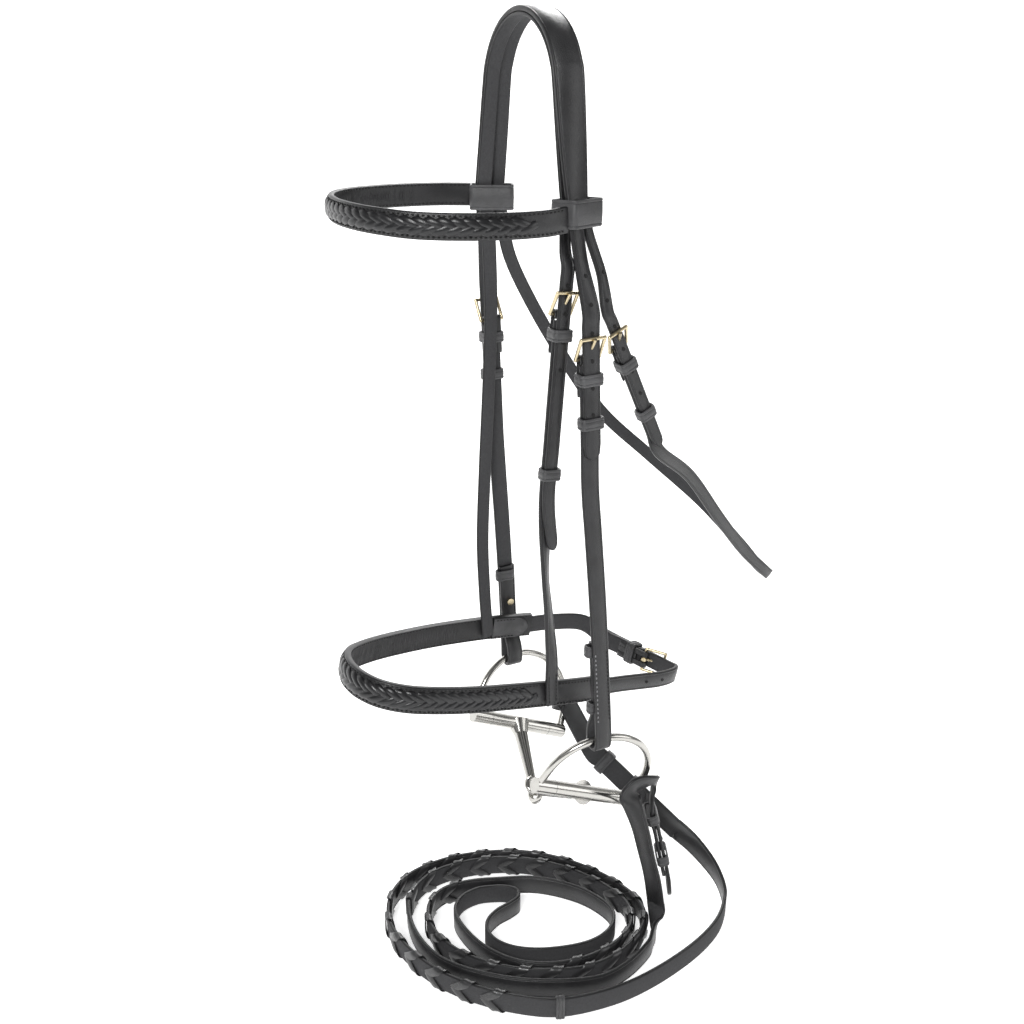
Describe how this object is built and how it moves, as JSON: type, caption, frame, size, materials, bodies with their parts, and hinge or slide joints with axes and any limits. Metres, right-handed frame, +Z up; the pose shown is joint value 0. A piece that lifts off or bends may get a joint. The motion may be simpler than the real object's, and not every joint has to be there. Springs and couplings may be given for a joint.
{
  "type": "snaffle bridle",
  "caption": "Leather snaffle bridle hung from its crown, with plaited browband and noseband, throatlash, jointed dee-ring bit and laced reins coiled below.",
  "frame": {"origin": "centre of the round poll rest inside the crown of the headpiece", "axes": "+Z up; -X towards the horse's nose, so the browband and noseband project to -X; -Y is the horse's left, the near side, +Y its right, the far side"},
  "size_m": [0.4135, 0.242, 0.7214],
  "materials": {
    "strap_leather": "smooth dressed bridle leather, near black with a soft sheen",
    "keeper_leather": "worn charcoal leather",
    "plaited_leather": "plaited thin leather strands, glossy",
    "rein_leather": "smooth rein leather with a rough inner side",
    "buckle_metal": "polished pale brass",
    "bit_steel": "polished stainless steel"
  },
  "bodies": {
    "straps": {"headpiece": "strap_leather", "sliphead": "strap_leather", "near_cheekpiece": "strap_leather", "near_cheek_buckle": "buckle_metal", "near_cheek_keeper": "keeper_leather", "near_bit_keepers": "keeper_leather", "near_hook_stud": "buckle_metal", "far_cheekpiece": "strap_leather", "far_cheek_buckle": "buckle_metal", "far_cheek_keeper": "keeper_leather", "far_bit_keepers": "keeper_leather", "far_hook_stud": "buckle_metal", "noseband": "strap_leather", "noseband_plait": "plaited_leather", "noseband_near_strap": "strap_leather", "noseband_far_strap": "strap_leather", "noseband_buckle": "buckle_metal", "noseband_keeper": "keeper_leather", "noseband_cheek": "strap_leather", "noseband_cheek_buckle": "buckle_metal", "noseband_cheek_keeper": "keeper_leather", "throatlash": "strap_leather", "throatlash_buckle": "buckle_metal", "throatlash_keeper": "keeper_leather", "near_rein_end": "strap_leather", "near_rein_chape": "strap_leather", "near_rein_keeper": "keeper_leather", "far_rein_end": "strap_leather", "far_rein_keeper": "keeper_leather", "near_rein": "rein_leather", "far_rein": "rein_leather", "rein_coil": "rein_leather"},
    "browband": {"browband": "strap_leather", "browband_plait": "plaited_leather", "browband_near_loop": "strap_leather", "browband_far_loop": "strap_leather"},
    "near_cheek_prong": {"near_cheek_prong": "buckle_metal"},
    "near_cheek_runner": {"near_cheek_runner": "keeper_leather"},
    "far_cheek_prong": {"far_cheek_prong": "buckle_metal"},
    "far_cheek_runner": {"far_cheek_runner": "keeper_leather"},
    "noseband_prong": {"noseband_prong": "buckle_metal"},
    "noseband_cheek_prong": {"noseband_cheek_prong": "buckle_metal"},
    "noseband_cheek_runner": {"noseband_cheek_runner": "keeper_leather"},
    "throatlash_prong": {"throatlash_prong": "buckle_metal"},
    "throatlash_runner": {"throatlash_runner": "keeper_leather"},
    "near_ring": {"near_ring": "bit_steel"},
    "near_cannon": {"near_cannon": "bit_steel"},
    "far_ring": {"far_ring": "bit_steel"},
    "far_cannon": {"far_cannon": "bit_steel"},
    "near_rein_runner": {"near_rein_runner": "keeper_leather"},
    "far_rein_runner": {"far_rein_runner": "keeper_leather"}
  },
  "joints": [
    {"name": "browband_slide", "type": "slide", "parent": "straps", "child": "browband", "axis": [0, 0, 1], "range_m": [-0.006, 0.006]},
    {"name": "near_cheek_prong_lift", "type": "hinge", "parent": "straps", "child": "near_cheek_prong", "pos_m": [0.0109, -0.0761, -0.167], "axis": [0.999, 0, 0.0454], "range_deg": [0, 20]},
    {"name": "far_cheek_prong_lift", "type": "hinge", "parent": "straps", "child": "far_cheek_prong", "pos_m": [0.0109, 0.0761, -0.167], "axis": [-0.999, 0, -0.0454], "range_deg": [0, 20]},
    {"name": "noseband_cheek_prong_lift", "type": "hinge", "parent": "straps", "child": "noseband_cheek_prong", "pos_m": [-0.005, -0.0655, -0.137], "axis": [0.9973, 0, -0.0732], "range_deg": [0, 20]},
    {"name": "throatlash_prong_lift", "type": "hinge", "parent": "straps", "child": "throatlash_prong", "pos_m": [0.0386, -0.0705, -0.163], "axis": [0.891, 0, 0.454], "range_deg": [0, 20]},
    {"name": "noseband_prong_lift", "type": "hinge", "parent": "straps", "child": "noseband_prong", "pos_m": [0.121, 0, -0.461], "axis": [0.2334, 0, 0.9724], "range_deg": [0, 20]},
    {"name": "near_cheek_runner_slide", "type": "slide", "parent": "straps", "child": "near_cheek_runner", "axis": [-0.0454, 0, 0.999], "range_m": [-0.012, 0.012]},
    {"name": "far_cheek_runner_slide", "type": "slide", "parent": "straps", "child": "far_cheek_runner", "axis": [-0.0454, 0, 0.999], "range_m": [-0.012, 0.012]},
    {"name": "noseband_cheek_runner_slide", "type": "slide", "parent": "straps", "child": "noseband_cheek_runner", "axis": [0.0732, 0, 0.9973], "range_m": [-0.012, 0.012]},
    {"name": "throatlash_runner_slide", "type": "slide", "parent": "straps", "child": "throatlash_runner", "axis": [-0.4529, -0.0698, 0.8888], "range_m": [-0.012, 0.012]},
    {"name": "near_rein_runner_slide", "type": "slide", "parent": "straps", "child": "near_rein_runner", "axis": [-0.2166, 0.0542, 0.9748], "range_m": [-0.008, 0.008]},
    {"name": "far_rein_runner_slide", "type": "slide", "parent": "straps", "child": "far_rein_runner", "axis": [-0.445, 0.7231, 0.5284], "range_m": [-0.008, 0.008]},
    {"name": "near_ring_swing", "type": "hinge", "parent": "straps", "child": "near_ring", "pos_m": [0.03, -0.077, -0.4729], "axis": [1, 0, 0], "range_deg": [-3, 3]},
    {"name": "far_ring_swing", "type": "hinge", "parent": "straps", "child": "far_ring", "pos_m": [0.03, 0.077, -0.4729], "axis": [1, 0, 0], "range_deg": [-3, 3]},
    {"name": "near_cannon_hinge", "type": "hinge", "parent": "near_ring", "child": "near_cannon", "pos_m": [0.028, -0.059, -0.533], "axis": [0.9092, 0, -0.4163], "range_deg": [-8, 8]},
    {"name": "far_cannon_hinge", "type": "hinge", "parent": "far_ring", "child": "far_cannon", "pos_m": [0.028, 0.059, -0.533], "axis": [0.9092, 0, -0.4163], "range_deg": [-8, 8]}
  ],
  "couplings": [
    {"joint": "near_cannon_hinge", "follows": "near_ring_swing", "ratio": -2.53},
    {"joint": "far_ring_swing", "follows": "near_ring_swing", "ratio": -1},
    {"joint": "far_cannon_hinge", "follows": "near_ring_swing", "ratio": 2.53}
  ]
}
